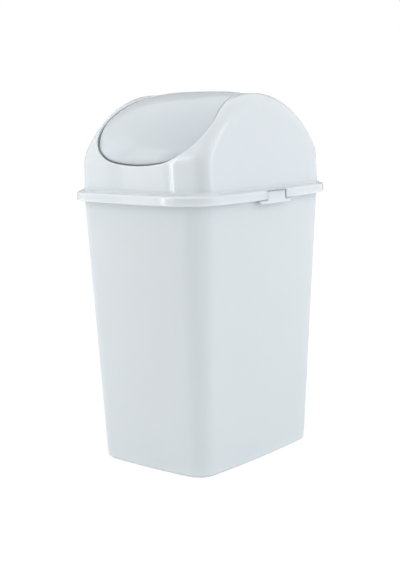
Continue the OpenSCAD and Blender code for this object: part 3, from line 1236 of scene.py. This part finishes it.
def toward(azimuth: float, elevation: float = 0.0) -> Vector:
    """Finds a direction from the can.

    Args:
        azimuth: Degrees round from the front towards the right.
        elevation: Degrees up.

    Returns:
        The direction, with a length of 1.
    """
    turn, rise = math.radians(azimuth), math.radians(elevation)
    flat = math.cos(rise)
    return Vector((math.sin(turn) * flat, -math.cos(turn) * flat, math.sin(rise)))


DAYLIGHT = (0.88, 0.93, 1.0)


@dataclass(frozen=True)
class SoftBox:
    """A large area light that faces the can, in metres and watts."""

    name: str
    azimuth: float
    width: float
    power: float
    colour: Triple = (1.0, 1.0, 1.0)
    height: float = 1.28
    elevation: float = 20.0
    distance: float = 1.49
    aim_height: float = 0.15

    def build(self) -> None:
        """Places the light."""
        light = bpy.data.lights.new(self.name, "AREA")
        light.shape = "RECTANGLE"
        light.size = self.width
        light.size_y = self.height
        light.energy = self.power
        light.color = self.colour
        lamp = bpy.data.objects.new(self.name, light)
        lamp.visible_camera = False
        way = toward(self.azimuth, self.elevation)
        lamp.location = Vector((0.0, 0.0, self.aim_height)) + way * self.distance
        lamp.rotation_euler = way.to_track_quat("Z", "Y").to_euler()
        bpy.context.scene.collection.objects.link(lamp)


@dataclass(frozen=True)
class Card:
    """An upright card that only the can's gloss shows. One that shades takes light from it too."""

    name: str
    azimuth: float
    width: float
    grey: float
    shades: bool = False
    height: float = 1.4
    distance: float = 1.7


@dataclass(frozen=True)
class Lens:
    """The photograph's viewpoint, in metres, and its lens."""

    place: Triple = (0.6127, -0.7469, 0.2988)
    forward: Triple = (-0.6294, 0.7606, -0.1593)
    roll: float = math.radians(1.19)
    focal: float = 71.97
    clip_start: float = 0.01

    def build(self) -> None:
        """Places the camera and makes it the scene's."""
        data = bpy.data.cameras.new("camera")
        data.lens = self.focal
        data.clip_start = self.clip_start
        camera = bpy.data.objects.new("camera", data)
        back = -Vector(self.forward).normalized()
        right = Vector((0.0, 0.0, 1.0)).cross(back).normalized()
        up = back.cross(right)
        tilted_up = up * math.cos(self.roll) + right * math.sin(self.roll)
        tilted_right = right * math.cos(self.roll) - up * math.sin(self.roll)
        axes = Matrix((tilted_right, tilted_up, back)).transposed()
        camera.matrix_world = Matrix.Translation(Vector(self.place)) @ axes.to_4x4()
        bpy.context.scene.collection.objects.link(camera)
        bpy.context.scene.camera = camera


@dataclass
class Studio:
    """White floor and surroundings, soft boxes, and grey cards that deepen the can's gloss."""

    lens: Lens = Lens()
    boxes: tuple[SoftBox, ...] = (
        SoftBox("soft_box_left", -37.8, 0.42, 2.2),
        SoftBox("soft_box_left_back", -64.0, 0.80, 1.9),
        SoftBox("soft_strip_left", -28.0, 0.03, 1.0),
        SoftBox("soft_box_right", 114.0, 0.46, 3.2, DAYLIGHT),
        SoftBox("soft_box_right_front", 94.0, 0.46, 1.75, DAYLIGHT),
    )
    cards: tuple[Card, ...] = (
        Card("card_camera", 40.0, 1.0, 0.20, shades=True),
        Card("card_left", 0.0, 1.2, 0.35),
        Card("card_right", 78.0, 0.9, 0.35),
        Card("card_back", 219.0, 2.6, 0.50),
    )
    ambient: float = 0.89
    floor_size: float = 9.0
    floor_white: float = 0.86
    floor_lift: float = 1.12
    floor_share: float = 0.78
    floor_gap: float = -0.00005

    @staticmethod
    def seen(graph: ShaderGraph) -> Wire:
        """Tells the rays that show the white background from those that carry light.

        Args:
            graph: The graph that asks.

        Returns:
            1 where a ray comes from the camera, a reflection or a transmission, and otherwise 0.
        """
        path = graph.node("ShaderNodeLightPath")
        kinds = ("Camera", "Glossy", "Transmission")
        camera, glossy, through = (Wire(graph, path.outputs[f"Is {kind} Ray"]) for kind in kinds)
        return camera.largest(glossy).largest(through)

    @staticmethod
    def panel(name: str, width: float, height: float, material: Material) -> Object:
        """Adds a flat rectangle to the stage.

        Args:
            name: Its name.
            width: Its size along X.
            height: Its size along Y.
            material: What it is made of.

        Returns:
            The rectangle, lying at the origin.
        """
        x, y = width / 2, height / 2
        data = bpy.data.meshes.new(name)
        data.from_pydata([(-x, -y, 0), (x, -y, 0), (x, y, 0), (-x, y, 0)], [], [(0, 1, 2, 3)])
        data.materials.append(material)
        made = bpy.data.objects.new(name, data)
        bpy.context.scene.collection.objects.link(made)
        return made

    def world(self) -> None:
        """Lights the world plainly, and shows it as white where it is seen or reflected."""
        world = bpy.data.worlds.new("studio")
        bpy.context.scene.world = world
        graph = ShaderGraph(world)
        seen = self.seen(graph)
        graph.finish(graph.glow("Background", seen + (1 - seen) * self.ambient), "World")

    def floor(self) -> None:
        """Lays the pale floor, which keeps the can's shadow."""
        material = bpy.data.materials.new("floor_white")
        graph = ShaderGraph(material)
        share = self.seen(graph) * self.floor_share
        matt, glow = graph.matt(self.floor_white), graph.glow("Emission", self.floor_lift)
        graph.finish(graph.output("ShaderNodeMixShader", None, {0: share, 1: matt, 2: glow}))
        floor = self.panel("floor", self.floor_size, self.floor_size, material)
        floor.location.z = self.floor_gap

    def stand(self, card: Card) -> None:
        """Stands a card up, facing the can.

        Args:
            card: The card.
        """
        material = bpy.data.materials.new(f"{card.name}_grey")
        graph = ShaderGraph(material)
        graph.finish(graph.matt(card.grey))
        made = self.panel(card.name, card.width, card.height, material)
        way = toward(card.azimuth)
        made.location = way * card.distance + Vector((0.0, 0.0, card.height / 2))
        made.rotation_euler = way.to_track_quat("Z", "Y").to_euler()
        made.visible_camera = False
        made.visible_shadow = False
        made.visible_diffuse = card.shades

    def build(self) -> None:
        """Sets up the camera, the lights and the stage."""
        self.lens.build()
        self.world()
        self.floor()
        for card in self.cards:
            self.stand(card)
        for box in self.boxes:
            box.build()
        bpy.context.scene.view_settings.view_transform = "Standard"


def main() -> None:
    """Builds the studio and the can's sub-assemblies in order, and reports each piece."""
    logging.basicConfig(level=logging.INFO, format="%(name)s: %(message)s")
    Studio().build()
    for assembly in (Bin(), Lid(), Flap()):
        for piece in assembly.build():
            finish = piece.data.materials[0].name
            LOG.info("%s: %d faces, %s", piece.name, len(piece.data.polygons), finish)


if __name__ == "__main__":
    main()
